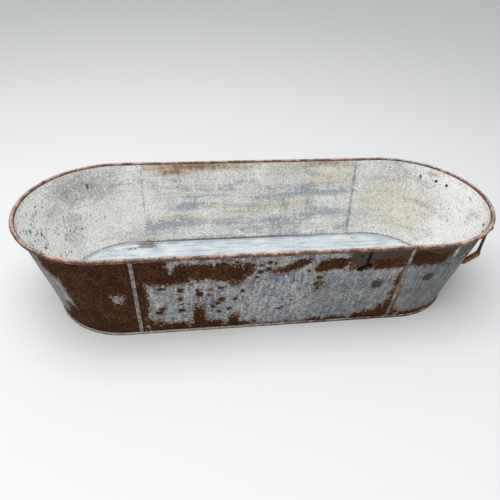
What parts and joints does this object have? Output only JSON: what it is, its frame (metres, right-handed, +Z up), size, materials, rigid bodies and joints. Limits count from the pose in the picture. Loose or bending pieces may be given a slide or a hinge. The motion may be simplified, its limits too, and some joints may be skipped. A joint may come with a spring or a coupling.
{
  "type": "livestock water trough",
  "caption": "Low galvanised steel stock trough with round ends, flared walls, folded upright seams, rolled rim over a rod, chime-locked floor and a drop bail at one end.",
  "frame": {"origin": "on the ground under the middle of the trough, at the bottom centre of its box", "axes": "+X along the trough, from its left end to its right end; +Y from its front side to its back; +Z up"},
  "size_m": [1.5148, 0.5688, 0.3345],
  "materials": {
    "side_sheet": "weathered galvanised sheet, dull spangled grey outside with rust blotches, pale zinc oxide and lime inside",
    "end_sheet": "galvanised sheet, largely rusted chocolate brown outside, pale zinc oxide and lime inside",
    "seam": "folded galvanised sheet, light grey, worn along its edges",
    "floor_sheet": "pale bluish zinc with water marks and small rust spots",
    "chime": "folded galvanised sheet, scraped bright on its edge and rusted",
    "rim_roll": "rolled sheet edge, rough reddish brown rust",
    "rim_rod": "plain steel rod, rusted",
    "lug": "forged plate, dark brown rust",
    "rivet": "dull dark steel",
    "bail": "forged bar, orange rust on the grip and darker legs"
  },
  "bodies": {
    "trough": {"front_panel": "side_sheet", "back_panel": "side_sheet", "left_end_panel": "end_sheet", "right_end_panel": "end_sheet", "seam_front_left": "seam", "seam_front_right": "seam", "seam_back_left": "seam", "seam_back_right": "seam", "bottom_plate": "floor_sheet", "chime_front": "chime", "chime_back": "chime", "chime_left_end": "chime", "chime_right_end": "chime", "rim_roll_front": "rim_roll", "rim_roll_back": "rim_roll", "rim_roll_left_end": "rim_roll", "rim_roll_right_end": "rim_roll", "rim_rod": "rim_rod", "lug_right_front": "lug", "lug_right_back": "lug", "rivet_right_front_1": "rivet", "rivet_right_front_2": "rivet", "rivet_right_back_1": "rivet", "rivet_right_back_2": "rivet"},
    "right_bail": {"bail_right": "bail"}
  },
  "joints": [
    {"name": "right_bail_swing", "type": "hinge", "parent": "trough", "child": "right_bail", "pos_m": [0.713, 0, 0.29], "axis": [0, -1, 0], "range_deg": [-2, 150]}
  ]
}
